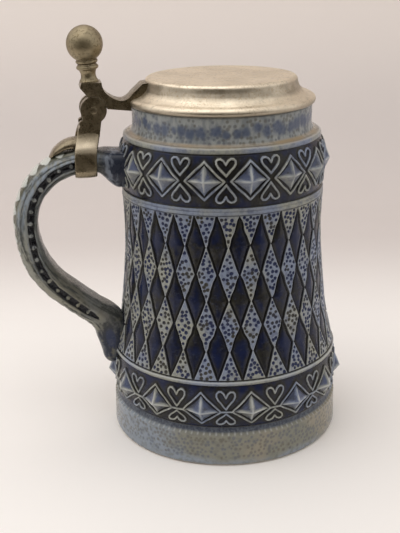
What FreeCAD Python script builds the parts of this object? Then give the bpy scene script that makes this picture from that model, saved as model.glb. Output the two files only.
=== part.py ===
import FreeCAD, Part
import math
import os
import Sketcher

# A half-litre stoneware stein with a hinged pewter lid.
# Millimetres.  +Z is up, the origin is on the mug's own axis at the plane it stands on,
# and the handle points along -X.  The lid turns about a pin that lies along Y.

document = FreeCAD.newDocument("Stein")

DRIVING = [
    # turned stoneware mug, from the foot up
    ("foot_radius", 51.2),
    ("foot_top_radius", 50.9),
    ("foot_height", 15.1),
    ("foot_ridge", 0.7),
    ("foot_edge", 1.6),
    ("lower_band_low", 17.5),
    ("lower_band_radius", 49.8),
    ("lower_band_bulge_radius", 48),
    ("lower_ring_low", 36.8),
    ("lower_ring_top", 39.2),
    ("lower_ring_bead", 1.5),
    ("waist_foot_radius", 49.3),
    ("waist_knee_height", 64.8),
    ("waist_knee_radius", 44.8),
    ("waist_lower_sweep", 141),
    ("waist_upper_sweep", 264),
    ("waist_top_radius", 43.1),
    ("middle_ring_low", 108.4),
    ("middle_ring_top", 111.6),
    ("middle_ring_bead", 1.1),
    ("upper_band_bulge_radius", 36),
    ("upper_ring_low", 132.7),
    ("upper_ring_top", 135.2),
    ("upper_ring_radius", 41.8),
    ("neck_radius", 38.4),
    ("mug_height", 147.1),
    ("mouth_radius", 34),
    ("lip_round", 2),
    ("lip_inside_round", 1.8),
    ("bore_shoulder_height", 108),
    ("bore_shoulder_radius", 37.2),
    ("bore_foot_height", 24),
    ("bore_foot_radius", 41.5),
    ("floor_height", 10),
    ("floor_corner", 9),
    ("floor_corner_sweep", 17.1),
    # handle: one flat loop, round on its edges
    ("handle_width", 17.5),
    ("handle_thickness", 10),
    ("handle_edge", 3.6),
    ("handle_reach", 85.2),
    ("handle_top", 124.5),
    ("handle_turn", 98.5),
    ("handle_lower_radius", 39.4),
    ("handle_lower_turn", 50),
    ("handle_upper_root", 41.5),
    ("handle_lower_root", 45.2),
    ("web_drop", 7),
    ("web_root_drop", 9),
    ("web_root_reach", 3.4),
    ("leaf_tip_height", 32.5),
    ("leaf_tip_reach", 51.6),
    ("leaf_tip_width", 2.2),
    ("leaf_length", 20),
    ("leaf_spread", 8.6),
    ("leaf_width", 12),
    # pewter mount round the handle
    ("strap_middle", 58.8),
    ("strap_length", 8.8),
    ("strap_wall", 1.1),
    ("strap_shoulder_radius", 8),
    ("saddle_height", 135.4),
    ("saddle_edge", 0.6),
    ("tang_width", 8.4),
    ("tang_tip_reach", 73.8),
    ("tang_tip_rise", 29.4),
    ("tang_tip_width", 1.6),
    ("tang_crown_radius", 17),
    ("tang_side_radius", 12),
    # hinge
    ("hinge_reach", 54.6),
    ("hinge_height", 146.2),
    ("hinge_width", 10.4),
    ("ear_radius", 5.45),
    ("ear_slot", 5),
    ("slot_depth", 6.2),
    ("knuckle_radius", 5.2),
    ("knuckle_width", 4.6),
    ("turning_gap", 0.25),
    ("pin_radius", 1.5),
    ("pin_fit", 0.05),
    ("plug_depth", 0.8),
    ("plug_crown", 0.2),
    ("stop_radius", 1.2),
    ("stop_reach", 5),
    ("stop_drop", 5.4),
    ("block_front", 1.9),
    ("block_back", 7),
    # lid
    ("lid_seat", 147.3),
    ("lid_rim_radius", 39.9),
    ("lid_top", 158.6),
    ("lid_shoulder_radius", 32.4),
    ("lid_wall", 1.8),
    ("lid_rim_round", 0.6),
    ("lid_rim_height", 3),
    ("cove_radius", 5.2),
    ("cove_reach", 3.4),
    ("cove_foot", 4.6),
    ("cove_head", 8.4),
    ("lid_edge_radius", 1.3),
    ("flange_radius", 33.2),
    ("flange_wall", 1.6),
    ("flange_drop", 2.6),
    ("arm_foot", 146.5),
    ("arm_top", 157.4),
    ("arm_dip_radius", 6.8),
    ("arm_dip_reach", 43.9),
    ("arm_dip_turn", 35),
    ("arm_back", 5.1),
    ("arm_back_turn", 20),
    # thumblift
    ("lift_foot_radius", 3.9),
    ("lift_foot_sweep", 4),
    ("lift_neck_radius", 3.6),
    ("lift_neck_rise", 4.6),
    ("lift_ring_radius", 4.1),
    ("lift_ring_round", 0.9),
    ("lift_ring_rise", 5),
    ("lift_ring_height", 1.6),
    ("lift_collar_radius", 4.2),
    ("lift_collar_round", 0.8),
    ("lift_collar_rise", 7.5),
    ("lift_collar_height", 1.3),
    ("lift_sink", 0.6),
    ("ball_foot_turn", 55),
    ("ball_radius", 7.5),
    ("ball_rise", 15.2),
    ("lift_reach", 55.5),
    ("lift_lean", 4),
]

sheet = document.addObject("Spreadsheet::Sheet", "Size")
for row, (alias, value) in enumerate(DRIVING, start=1):
    sheet.set("A%d" % row, alias)
    sheet.set("B%d" % row, "%g" % value)
    sheet.setAlias("B%d" % row, alias)
document.recompute()


def value_of(expression):
    """The number that an expression over the sheet's cells gives."""
    return float(sheet.evalExpression(expression))


def new_body(label):
    body = document.addObject("PartDesign::Body", label)
    body.Label = label
    return body


def new_sketch(body, role, name, offset=None):
    """A sketch on one of the body's own origin planes, moved along its normal if asked."""
    plane = [part for part in body.Origin.OriginFeatures if part.Role == role][0]
    sketch = body.newObject("Sketcher::SketchObject", name)
    sketch.AttachmentSupport = [(plane, "")]
    sketch.MapMode = "FlatFace"
    if offset:
        sketch.setExpression("AttachmentOffset.Base.z", offset)
    return sketch


def fix_point(sketch, geometry, end, across, up):
    """Tie one end of a line or arc to the sheet, measured from the sketch's origin."""
    for kind, expression, axis in (("DistanceX", across, -2), ("DistanceY", up, -1)):
        if expression == "0":
            sketch.addConstraint(Sketcher.Constraint("PointOnObject", geometry, end, axis))
        else:
            index = sketch.addConstraint(
                Sketcher.Constraint(kind, -1, 1, geometry, end, value_of(expression)))
            sketch.setExpression("Constraints[%d]" % index, expression)


def arc_between(start, end, radius, bulges_right):
    """The shorter arc from start to end that bulges to the right, or left, of that way."""
    half = (end - start) / 2
    rise = math.sqrt(max(radius ** 2 - half.Length ** 2, 0))
    left = FreeCAD.Vector(-half.y, half.x, 0).normalize()
    centre = start + half + left * (rise if bulges_right else -rise)
    first, last = (start, end) if bulges_right else (end, start)
    angles = [math.atan2(point.y - centre.y, point.x - centre.x) for point in (first, last)]
    circle = Part.Circle(centre, FreeCAD.Vector(0, 0, 1), radius)
    return Part.ArcOfCircle(circle, angles[0], angles[1])


def outline(sketch, corners, closed=True):
    """An outline of lines and arcs, closed unless told otherwise.

    A corner is (across, up), or (across, up, side, radius) where an arc leaves it:
    side is "right" or "left", the side of the way round that the arc bulges to.
    """
    points = [FreeCAD.Vector(value_of(c[0]), value_of(c[1]), 0) for c in corners]
    joints = []
    for index, corner in enumerate(corners if closed else corners[:-1]):
        start = points[index]
        end = points[(index + 1) % len(points)]
        if len(corner) == 2:
            geometry = sketch.addGeometry(Part.LineSegment(start, end), False)
            joints.append((geometry, 1, 2))
        else:
            side, radius = corner[2], corner[3]
            arc = arc_between(start, end, value_of(radius), side == "right")
            geometry = sketch.addGeometry(arc, False)
            joints.append((geometry, 1, 2) if side == "right" else (geometry, 2, 1))
            place = sketch.addConstraint(Sketcher.Constraint("Radius", geometry, arc.Radius))
            sketch.setExpression("Constraints[%d]" % place, radius)
    for index, (geometry, start, end) in enumerate(joints):
        fix_point(sketch, geometry, start, corners[index][0], corners[index][1])
        if not closed and index == len(joints) - 1:
            fix_point(sketch, geometry, end, corners[-1][0], corners[-1][1])
        else:
            following, following_start, _ = joints[(index + 1) % len(joints)]
            sketch.addConstraint(
                Sketcher.Constraint("Coincident", geometry, end, following, following_start))


def round_outline(sketch, across, up, radius):
    """A full circle whose centre and radius come from the sheet."""
    centre = FreeCAD.Vector(value_of(across), value_of(up), 0)
    circle = Part.Circle(centre, FreeCAD.Vector(0, 0, 1), value_of(radius))
    geometry = sketch.addGeometry(circle, False)
    place = sketch.addConstraint(Sketcher.Constraint("Radius", geometry, value_of(radius)))
    sketch.setExpression("Constraints[%d]" % place, radius)
    fix_point(sketch, geometry, 3, across, up)


def rounded_box(sketch, half_across, middle, half_up, corner):
    """A box about the sketch's upright axis, with its four corners rounded alike."""
    right, left = "(%s)" % half_across, "-(%s)" % half_across
    low, high = "%s - %s" % (middle, half_up), "%s + %s" % (middle, half_up)
    inset = "(%s - %s)" % (half_across, corner)
    outline(sketch, [
        ("-" + inset, low),
        (inset, low, "right", corner),
        (right, "%s + %s" % (low, corner)),
        (right, "%s - %s" % (high, corner), "right", corner),
        (inset, high),
        ("-" + inset, high, "right", corner),
        (left, "%s - %s" % (high, corner)),
        (left, "%s + %s" % (low, corner), "right", corner),
    ])


def revolve(body, sketch, name):
    turned = body.newObject("PartDesign::Revolution", name)
    turned.Profile = sketch
    turned.ReferenceAxis = (sketch, ["V_Axis"])
    turned.Angle = 360
    sketch.Visibility = False
    document.recompute()
    return turned


def pad(body, sketch, name, length):
    """Thicken a sketch by the same amount to each side of its plane."""
    block = body.newObject("PartDesign::Pad", name)
    block.Profile = sketch
    block.SideType = "Symmetric"
    block.setExpression("Length", length)
    document.recompute()
    return block


def pocket(body, sketch, name, length):
    """Cut a sketch out to both sides of its plane, and see that something went."""
    before = body.Shape.Volume
    cut = body.newObject("PartDesign::Pocket", name)
    cut.Profile = sketch
    cut.SideType = "Symmetric"
    cut.setExpression("Length", length)
    document.recompute()
    if body.Shape.Volume >= before:
        raise RuntimeError(name + " cuts nothing")
    return cut


def stoneware_body():
    """The thrown mug: foot, two bulging bands, three rings, a waisted wall and a plain neck."""
    body = new_body("stoneware_body")
    section = new_sketch(body, "XZ_Plane", "WallSection")
    outline(section, [
        ("0", "0"),
        ("Size.foot_radius - Size.foot_edge", "0", "right", "Size.foot_edge"),
        ("Size.foot_radius", "Size.foot_edge"),
        ("Size.foot_top_radius", "Size.foot_height - Size.foot_ridge", "right", "Size.foot_ridge"),
        ("Size.foot_top_radius - Size.foot_ridge", "Size.foot_height"),
        ("Size.lower_band_radius - Size.foot_ridge", "Size.lower_band_low",
         "right", "Size.lower_band_bulge_radius"),
        ("Size.lower_band_radius + 0.2", "Size.lower_ring_low", "right", "Size.lower_ring_bead"),
        ("Size.waist_foot_radius", "Size.lower_ring_top", "left", "Size.waist_lower_sweep"),
        ("Size.waist_knee_radius", "Size.waist_knee_height", "left", "Size.waist_upper_sweep"),
        ("Size.waist_top_radius", "Size.middle_ring_low", "right", "Size.middle_ring_bead"),
        ("Size.waist_top_radius + 0.1", "(Size.middle_ring_low + Size.middle_ring_top) / 2",
         "right", "Size.middle_ring_bead"),
        ("Size.waist_top_radius + 0.2", "Size.middle_ring_top",
         "right", "Size.upper_band_bulge_radius"),
        ("Size.upper_ring_radius - 0.2", "Size.upper_ring_low"),
        ("Size.upper_ring_radius + 0.2", "Size.upper_ring_low + 0.4"),
        ("Size.upper_ring_radius + 0.2", "Size.upper_ring_top - 0.5"),
        ("Size.upper_ring_radius - 0.5", "Size.upper_ring_top"),
        ("Size.neck_radius + 0.8", "Size.upper_ring_top + 0.3"),
        ("Size.neck_radius", "Size.upper_ring_top + 2"),
        ("Size.neck_radius", "Size.mug_height - Size.lip_round", "right", "Size.lip_round"),
        ("Size.neck_radius - Size.lip_round", "Size.mug_height"),
        ("Size.mouth_radius + Size.lip_inside_round", "Size.mug_height",
         "right", "Size.lip_inside_round"),
        ("Size.mouth_radius", "Size.mug_height - Size.lip_inside_round"),
        ("Size.mouth_radius", "Size.upper_ring_top"),
        ("Size.bore_shoulder_radius", "Size.bore_shoulder_height"),
        ("Size.bore_foot_radius", "Size.bore_foot_height", 
         "left", "Size.floor_corner_sweep"),
        ("Size.bore_foot_radius - Size.floor_corner", "Size.floor_height"),
        ("0", "Size.floor_height"),
    ])
    revolve(body, section, "Wall")
    return body


def stoneware_handle():
    """The pulled handle: a flat loop whose roots sink a little way into the mug's wall."""
    body = new_body("stoneware_handle")
    half = "Size.handle_thickness / 2"
    bend = "(Size.handle_top - Size.handle_turn)"
    bend_centre = "(Size.handle_reach - %s)" % bend
    lower = "Size.handle_lower_radius"
    turn = "(Size.handle_lower_turn * 1 deg)"
    knee = ("(Size.handle_reach - %s * (1 - cos(%s)))" % (lower, turn),
            "(Size.handle_turn - %s * sin(%s))" % (lower, turn))
    run = "(%s - Size.handle_lower_root) / tan(%s)" % (knee[0], turn)
    section = new_sketch(body, "YZ_Plane", "HandleSection", "-Size.handle_upper_root")
    rounded_box(section, "Size.handle_width / 2", "Size.handle_top", half, "Size.handle_edge")
    path = new_sketch(body, "XZ_Plane", "HandlePath")
    outline(path, [
        ("-Size.handle_upper_root", "Size.handle_top"),
        ("-%s" % bend_centre, "Size.handle_top", "right", bend),
        ("-Size.handle_reach", "Size.handle_turn", "right", lower),
        ("-%s" % knee[0], knee[1]),
        ("-Size.handle_lower_root", "%s - %s" % (knee[1], run)),
    ], closed=False)
    loop = body.newObject("PartDesign::AdditivePipe", "Loop")
    loop.Profile = section
    loop.Spine = (path, ["Edge%d" % (i + 1) for i in range(len(path.Shape.Edges))])
    document.recompute()
    web = "(Size.strap_middle - Size.strap_length / 2 - 1.2)"
    root = new_sketch(body, "XZ_Plane", "UpperRoot")
    outline(root, [
        ("-%s" % web, "Size.handle_top"),
        ("-%s" % web, "Size.handle_top - %s" % half),
        ("-(Size.handle_upper_root + Size.web_root_reach)",
         "Size.handle_top - %s - Size.web_drop" % half),
        ("-Size.handle_upper_root", "Size.handle_top - %s - Size.web_root_drop" % half),
        ("-Size.handle_upper_root", "Size.handle_top"),
    ])
    pad(body, root, "UpperWeb", "Size.handle_width - Size.handle_edge")
    leaf = new_sketch(body, "XZ_Plane", "LowerLeaf")
    outline(leaf, [
        ("-Size.handle_lower_root", "Size.leaf_tip_height + Size.leaf_length"),
        ("-(Size.leaf_tip_reach + Size.leaf_spread)", "Size.leaf_tip_height + Size.leaf_length"),
        ("-(Size.leaf_tip_reach + 3.4)", "Size.leaf_tip_height + Size.leaf_length / 2"),
        ("-(Size.leaf_tip_reach + Size.leaf_tip_width)", "Size.leaf_tip_height + 3"),
        ("-Size.leaf_tip_reach", "Size.leaf_tip_height"),
        ("-(Size.leaf_tip_reach - Size.leaf_tip_width)", "Size.leaf_tip_height"),
        ("-(Size.handle_lower_root + 0.6)", "Size.leaf_tip_height + 9"),
    ])
    pad(body, leaf, "LeafLobe", "Size.leaf_width")
    return body


def hinge_strap():
    """The pewter band cast round the handle, with a sloping saddle under the hinge."""
    body = new_body("hinge_strap")
    ring = new_sketch(body, "YZ_Plane", "StrapSection", "-Size.strap_middle")
    side = "(Size.handle_width / 2 + Size.strap_wall)"
    low = "(Size.handle_top - Size.handle_thickness / 2 - Size.strap_wall)"
    outer_corner = "(Size.handle_edge + Size.strap_wall)"
    saddle = "(Size.hinge_width / 2 + 0.5)"
    outline(ring, [
        ("-(%s - %s)" % (side, outer_corner), low),
        ("%s - %s" % (side, outer_corner), low, "right", outer_corner),
        (side, "%s + %s" % (low, outer_corner)),
        (side, "Size.handle_top + 1", "right", "Size.strap_shoulder_radius"),
        (saddle, "Size.saddle_height - Size.saddle_edge"),
        ("%s - Size.saddle_edge" % saddle, "Size.saddle_height"),
        ("-(%s - Size.saddle_edge)" % saddle, "Size.saddle_height"),
        ("-%s" % saddle, "Size.saddle_height - Size.saddle_edge",
         "right", "Size.strap_shoulder_radius"),
        ("-%s" % side, "Size.handle_top + 1"),
        ("-%s" % side, "%s + %s" % (low, outer_corner), "right", outer_corner),
    ])
    rounded_box(ring, "Size.handle_width / 2", "Size.handle_top",
                "Size.handle_thickness / 2", "Size.handle_edge")
    pad(body, ring, "Strap", "Size.strap_length")
    return body


def hinge_tang():
    """The leaf of pewter that runs from the strap down the back of the handle."""
    body = new_body("hinge_tang")
    profile = new_sketch(body, "XZ_Plane", "TangProfile")
    root = "(Size.strap_middle + Size.strap_length / 2 - 0.3)"
    bed = "(Size.handle_top - Size.handle_turn + Size.handle_thickness / 2)"
    bend_centre = "(Size.handle_reach - (Size.handle_top - Size.handle_turn))"
    outline(profile, [
        ("-%s" % root, "Size.saddle_height - 0.2", "right", "Size.tang_crown_radius"),
        ("-Size.tang_tip_reach", "Size.handle_turn + Size.tang_tip_rise"),
        ("-Size.tang_tip_reach", "Size.handle_turn + sqrt(%s ^ 2 - (Size.tang_tip_reach - %s) ^ 2)"
         % (bed, bend_centre), "left", bed),
        ("-%s" % root, "Size.handle_turn + sqrt(%s ^ 2 - (%s - %s) ^ 2)" % (bed, root, bend_centre)),
    ])
    pad(body, profile, "Tang", "Size.tang_width")
    plan = new_sketch(body, "XY_Plane", "LeafPlan", "Size.handle_top")
    half = "(Size.tang_width / 2)"
    outline(plan, [
        ("-(%s - 2)" % root, "-%s * 2" % half),
        ("-(%s - 2)" % root, "%s * 2" % half),
        ("-(Size.tang_tip_reach + 2)", "%s * 2" % half),
        ("-(Size.tang_tip_reach + 2)", "-%s * 2" % half),
    ])
    outline(plan, [
        ("-(%s - 1)" % root, "-%s * 1.01" % half),
        ("-(%s - 1)" % root, "%s * 1.01" % half),
        ("-(%s + 3)" % root, "%s * 1.01" % half, "left", "Size.tang_side_radius"),
        ("-(Size.tang_tip_reach - 0.2)", "Size.tang_tip_width / 2"),
        ("-(Size.tang_tip_reach - 0.2)", "-Size.tang_tip_width / 2", "left", "Size.tang_side_radius"),
        ("-(%s + 3)" % root, "-%s * 1.01" % half),
    ])
    pocket(body, plan, "LeafCut", "Size.handle_thickness * 3")
    return body


def hinge_block():
    """Two round ears on one foot, with a slot between them and a stop lip behind."""
    body = new_body("hinge_block")
    side = new_sketch(body, "XZ_Plane", "EarOutline")
    axis = "Size.hinge_reach"
    round_outline(side, "-Size.hinge_reach", "Size.hinge_height", "Size.ear_radius")
    pad(body, side, "Ears", "Size.hinge_width")
    foot = new_sketch(body, "XZ_Plane", "FootOutline")
    outline(foot, [
        ("-(%s + 4.6)" % axis, "Size.hinge_height - 0.5"),
        ("-(%s - 4.2)" % axis, "Size.hinge_height - 0.5"),
        ("-(%s - 2.9)" % axis, "Size.hinge_height - 5"),
        ("-(%s - Size.block_front)" % axis, "Size.saddle_height - 0.5"),
        ("-(%s + Size.block_back)" % axis, "Size.saddle_height - 0.5"),
        ("-(%s + Size.block_back - 0.4)" % axis, "Size.saddle_height + 3.2"),
        ("-(%s + 4.9)" % axis, "Size.hinge_height - 4.6"),
    ])
    pad(body, foot, "Foot", "Size.hinge_width")
    lip = new_sketch(body, "XZ_Plane", "StopLip")
    round_outline(lip, "-(%s + Size.stop_reach)" % axis,
                  "Size.hinge_height - Size.stop_drop", "Size.stop_radius")
    pad(body, lip, "Stop", "Size.hinge_width")
    slot = new_sketch(body, "XZ_Plane", "SlotOutline")
    outline(slot, [
        ("-(%s + 9)" % axis, "Size.hinge_height - Size.slot_depth"),
        ("-(%s - 9)" % axis, "Size.hinge_height - Size.slot_depth"),
        ("-(%s - 9)" % axis, "Size.hinge_height + 9"),
        ("-(%s + 9)" % axis, "Size.hinge_height + 9"),
    ])
    pocket(body, slot, "Slot", "Size.ear_slot")
    hole = new_sketch(body, "XZ_Plane", "PinHole")
    round_outline(hole, "-Size.hinge_reach", "Size.hinge_height", "Size.pin_radius")
    pocket(body, hole, "PinBore", "Size.hinge_width * 2")
    return body


def hinge_pin():
    """The steel pin, held fast in both ears and free in the lid's knuckle."""
    pin = document.addObject("Part::Cylinder", "hinge_pin")
    pin.Label = "hinge_pin"
    pin.setExpression("Radius", "Size.pin_radius")
    pin.setExpression("Height", "Size.hinge_width - 2 * Size.plug_depth")
    pin.Placement = FreeCAD.Placement(
        FreeCAD.Vector(0, 0, 0), FreeCAD.Rotation(FreeCAD.Vector(1, 0, 0), 90))
    pin.setExpression("Placement.Base.x", "-Size.hinge_reach")
    pin.setExpression("Placement.Base.y", "Size.hinge_width / 2 - Size.plug_depth")
    pin.setExpression("Placement.Base.z", "Size.hinge_height")
    return pin


def pin_plug(label, outward):
    """A pewter plug that closes one end of the pin's hole, with a slightly crowned face."""
    body = new_body(label)
    section = new_sketch(body, "XZ_Plane", label + "_section")
    crown_radius = "((Size.pin_radius ^ 2 + Size.plug_crown ^ 2) / (2 * Size.plug_crown))"
    outline(section, [
        ("0", "0"),
        ("Size.pin_radius", "0"),
        ("Size.pin_radius", "Size.plug_depth", "right", crown_radius),
        ("0", "Size.plug_depth + Size.plug_crown"),
    ])
    revolve(body, section, label + "_turned")
    body.Placement = FreeCAD.Placement(
        FreeCAD.Vector(0, 0, 0), FreeCAD.Rotation(FreeCAD.Vector(1, 0, 0), -90 * outward))
    body.setExpression("Placement.Base.x", "-Size.hinge_reach")
    body.setExpression(
        "Placement.Base.y", "%d * (Size.hinge_width / 2 - Size.plug_depth)" % outward)
    body.setExpression("Placement.Base.z", "Size.hinge_height")
    return body


def lid_shell():
    """The cast lid: a flat crown, a hollow cove and a heavy rolled rim, open underneath."""
    body = new_body("lid_shell")
    section = new_sketch(body, "XZ_Plane", "LidSection")
    shoulder = "Size.lid_shoulder_radius"
    rim = "Size.lid_rim_radius"
    seat = "Size.lid_seat"
    wall = "Size.lid_wall"
    inner_seat = "(Size.flange_radius + 0.6)"
    outline(section, [
        ("0", "Size.lid_top - %s" % wall),
        (shoulder + " - 2.4", "Size.lid_top - %s - 0.9" % wall),
        (shoulder + " - 1.5", "Size.lid_top - %s - 2.4" % wall),
        (inner_seat, "%s + 2.6" % seat),
        (inner_seat, seat),
        (rim + " - Size.lid_rim_round", seat),
        (rim, seat + " + 2 * Size.lid_rim_round"),
        (rim + " - 0.2", seat + " + Size.lid_rim_height - Size.lid_rim_round"),
        (rim + " - 0.8", seat + " + Size.lid_rim_height"),
        (shoulder + " + Size.cove_reach", seat + " + Size.cove_foot", "left", "Size.cove_radius"),
        (shoulder + " + 0.4", seat + " + Size.cove_head"),
        (shoulder, "Size.lid_top - 1.4", "right", "Size.lid_edge_radius"),
        (shoulder + " - 1.2", "Size.lid_top - 0.5"),
        ("0", "Size.lid_top"),
    ])
    revolve(body, section, "Lid")
    return body


def lid_flange():
    """The ring under the lid that centres it in the mug's mouth."""
    body = new_body("lid_flange")
    section = new_sketch(body, "XZ_Plane", "FlangeSection")
    outer = "Size.flange_radius"
    inner = "(Size.flange_radius - Size.flange_wall)"
    low = "(Size.lid_seat - Size.flange_drop)"
    outline(section, [
        (inner, low),
        (outer + " - 0.6", low),
        (outer, low + " + 0.8"),
        (outer, "Size.lid_seat + 0.4"),
        ("Size.flange_radius + 0.7", "Size.lid_seat + 0.8"),
        ("Size.flange_radius + 0.7", "Size.lid_seat + 2.2"),
        (inner, "Size.lid_seat + 3.4"),
    ])
    revolve(body, section, "Flange")
    return body


def lid_arm():
    """The arm from the lid to the hinge, hollowed round the ears, with a middle knuckle."""
    body = new_body("lid_arm")
    side = new_sketch(body, "XZ_Plane", "ArmOutline")
    clear = "(Size.ear_radius + Size.turning_gap)"
    reach = "Size.hinge_reach"
    dip = "Size.arm_dip_reach"
    dip_radius = "Size.arm_dip_radius"
    dip_turn = "(Size.arm_dip_turn * 1 deg)"
    back_turn = "(Size.arm_back_turn * 1 deg)"
    rim = "Size.lid_rim_radius"
    lip = "Size.lid_shoulder_radius"
    seat = "Size.lid_seat"
    outline(side, [
        ("-(%s - 1)" % rim, "Size.arm_foot"),
        ("-(%s - 1)" % rim, "%s + 3.4" % seat),
        ("-(%s + 1.6)" % lip, "%s + 4.6" % seat),
        ("-(%s - 0.9)" % lip, "%s + 7.8" % seat),
        ("-(%s - 0.9)" % lip, "Size.lid_top - 0.9"),
        ("-(%s + 1.6)" % lip, "Size.lid_top - 1.2"),
        ("-(%s - %s * cos(%s))" % (dip, dip_radius, dip_turn),
         "Size.arm_top - %s * sin(%s)" % (dip_radius, dip_turn), "left", dip_radius),
        ("-%s" % dip, "Size.arm_top - %s" % dip_radius, "left", dip_radius),
        ("-(%s + %s)" % (dip, dip_radius), "Size.arm_top"),
        ("-(%s + Size.arm_back - 0.7)" % reach, "Size.arm_top + 0.2"),
        ("-(%s + Size.arm_back)" % reach, "Size.arm_top - 1.9"),
        ("-(%s + %s * sin(%s))" % (reach, clear, back_turn),
         "Size.hinge_height + %s * cos(%s)" % (clear, back_turn), "left", clear),
        ("-(%s - sqrt(%s ^ 2 - (Size.arm_foot - Size.hinge_height) ^ 2))" % (reach, clear),
         "Size.arm_foot"),
    ])
    pad(body, side, "Arm", "Size.hinge_width")
    web = new_sketch(body, "XZ_Plane", "WebOutline")
    outline(web, [
        ("-%s" % reach, "Size.hinge_height"),
        ("-(%s - 7)" % reach, "Size.hinge_height + 0.5"),
        ("-(%s - 6)" % reach, "Size.hinge_height + 5"),
        ("-(%s + 1.4)" % reach, "Size.hinge_height + 8"),
    ])
    pad(body, web, "Web", "Size.knuckle_width")
    boss = new_sketch(body, "XZ_Plane", "KnuckleOutline")
    round_outline(boss, "-Size.hinge_reach", "Size.hinge_height", "Size.knuckle_radius")
    pad(body, boss, "Knuckle", "Size.knuckle_width")
    hole = new_sketch(body, "XZ_Plane", "RunningHole")
    round_outline(
        hole, "-Size.hinge_reach", "Size.hinge_height", "Size.pin_radius + Size.pin_fit")
    pocket(body, hole, "RunningBore", "Size.hinge_width * 2")
    return body


def thumblift():
    """The turned thumblift: a waist, a ring and an egg-shaped ball, leaning a little back."""
    body = new_body("thumblift")
    section = new_sketch(body, "XZ_Plane", "LiftSection")
    centre = "Size.ball_rise"
    ball = "Size.ball_radius"
    low = "(Size.ball_foot_turn * 1 deg)"
    ring = "Size.lift_ring_rise"
    collar = "Size.lift_collar_rise"
    outline(section, [
        ("0", "-Size.lift_sink"),
        ("Size.lift_foot_radius", "-Size.lift_sink"),
        ("Size.lift_foot_radius", "0.2", "left", "Size.lift_foot_sweep"),
        ("Size.lift_neck_radius", "Size.lift_neck_rise"),
        ("Size.lift_ring_radius", ring, "right", "Size.lift_ring_round"),
        ("Size.lift_ring_radius", ring + " + Size.lift_ring_height"),
        ("Size.lift_collar_radius - 0.4", collar + " - 0.4"),
        ("Size.lift_collar_radius", collar, "right", "Size.lift_collar_round"),
        ("Size.lift_collar_radius", collar + " + Size.lift_collar_height"),
        ("%s * cos(%s)" % (ball, low), "%s - %s * sin(%s)" % (centre, ball, low), "right", ball),
        ("0", "%s + %s" % (centre, ball)),
    ])
    revolve(body, section, "Turning")
    body.Placement = FreeCAD.Placement(
        FreeCAD.Vector(0, 0, 0), FreeCAD.Rotation(FreeCAD.Vector(0, 1, 0), 0))
    body.setExpression("Placement.Rotation.Angle", "-Size.lift_lean")
    body.setExpression("Placement.Base.x", "-Size.lift_reach")
    body.setExpression("Placement.Base.z", "Size.arm_top + 0.2")
    return body


pieces = [
    stoneware_body(),
    stoneware_handle(),
    hinge_strap(),
    hinge_tang(),
    hinge_block(),
    hinge_pin(),
    pin_plug("pin_plug_near", -1),
    pin_plug("pin_plug_far", 1),
    lid_shell(),
    lid_flange(),
    lid_arm(),
    thumblift(),
]
document.recompute()

for item in document.Objects:
    if "Invalid" in item.State or "Error" in item.State:
        raise RuntimeError("%s did not build: %s" % (item.Label, item.State))
for piece in pieces:
    if piece.Shape.isNull() or not piece.Shape.isValid() or not piece.Shape.Solids:
        raise RuntimeError(piece.Label + " has no sound solid")

os.makedirs("parts", exist_ok=True)
for piece in pieces:
    piece.Shape.exportStep("parts/%s.step" % piece.Label)
    print("%-18s %8.2f cm3" % (piece.Label, piece.Shape.Volume / 1000))
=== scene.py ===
"""Looks of a lidded relief stein: glazed stoneware mug and handle, pewter lid, hinge and thumblift."""

import math

import bmesh
import bpy
import numpy as np
from mathutils import Matrix, Vector


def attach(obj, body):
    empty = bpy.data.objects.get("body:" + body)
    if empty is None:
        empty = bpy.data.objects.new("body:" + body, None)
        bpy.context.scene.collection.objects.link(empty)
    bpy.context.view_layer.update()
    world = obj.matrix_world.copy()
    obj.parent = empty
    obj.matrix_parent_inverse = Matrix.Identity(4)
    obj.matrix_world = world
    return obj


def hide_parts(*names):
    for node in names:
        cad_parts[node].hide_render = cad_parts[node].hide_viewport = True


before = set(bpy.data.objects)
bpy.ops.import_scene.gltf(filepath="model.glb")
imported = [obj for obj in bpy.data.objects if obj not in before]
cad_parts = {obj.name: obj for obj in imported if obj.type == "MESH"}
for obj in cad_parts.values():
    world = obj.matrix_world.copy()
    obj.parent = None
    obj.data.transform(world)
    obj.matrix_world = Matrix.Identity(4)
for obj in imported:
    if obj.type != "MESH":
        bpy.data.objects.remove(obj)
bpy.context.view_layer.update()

MM = 0.001
SEED = 7
random = np.random.default_rng(SEED)

# ---- sizes, in mm from the standing face
MUG_COLUMNS = 1200
PATTERN_STEP = 0.26
FOOT_RADIUS = 51.2
FOOT_TOP = 14.9
LOWER_BAND = (17.6, 36.8)
LOWER_RING = 38.1
WAIST = (39.3, 108.4)
UPPER_BAND = (111.9, 132.5)
DOUBLE_RING = 110.0
UPPER_RING = (132.8, 135.3)
NECK_RADIUS = 38.4
NECK_FOOT = 135.35
MUG_TOP = 147.1
MOUTH_RADIUS = 34.0
BORE_SHOULDER = (37.2, 108.0)
BORE_FOOT_RADIUS = 41.5
FLOOR_HEIGHT = 10.0
POLE_RADIUS = 6.0

STUD_REPEATS = 15
STUD_PITCH = 360 / STUD_REPEATS
LINE_RISE = 0.85
STUD_BASE_RISE = 0.35
STUD_EDGE_POWER = 0.82
STUD_STAR_POWER = 0.62
# Share of the facets' darkening that the lower stud facets take: less than the upper ones, as painted light
# from the floor below.
LOWER_FACET_SHADE_SHARE = 0.45
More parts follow.
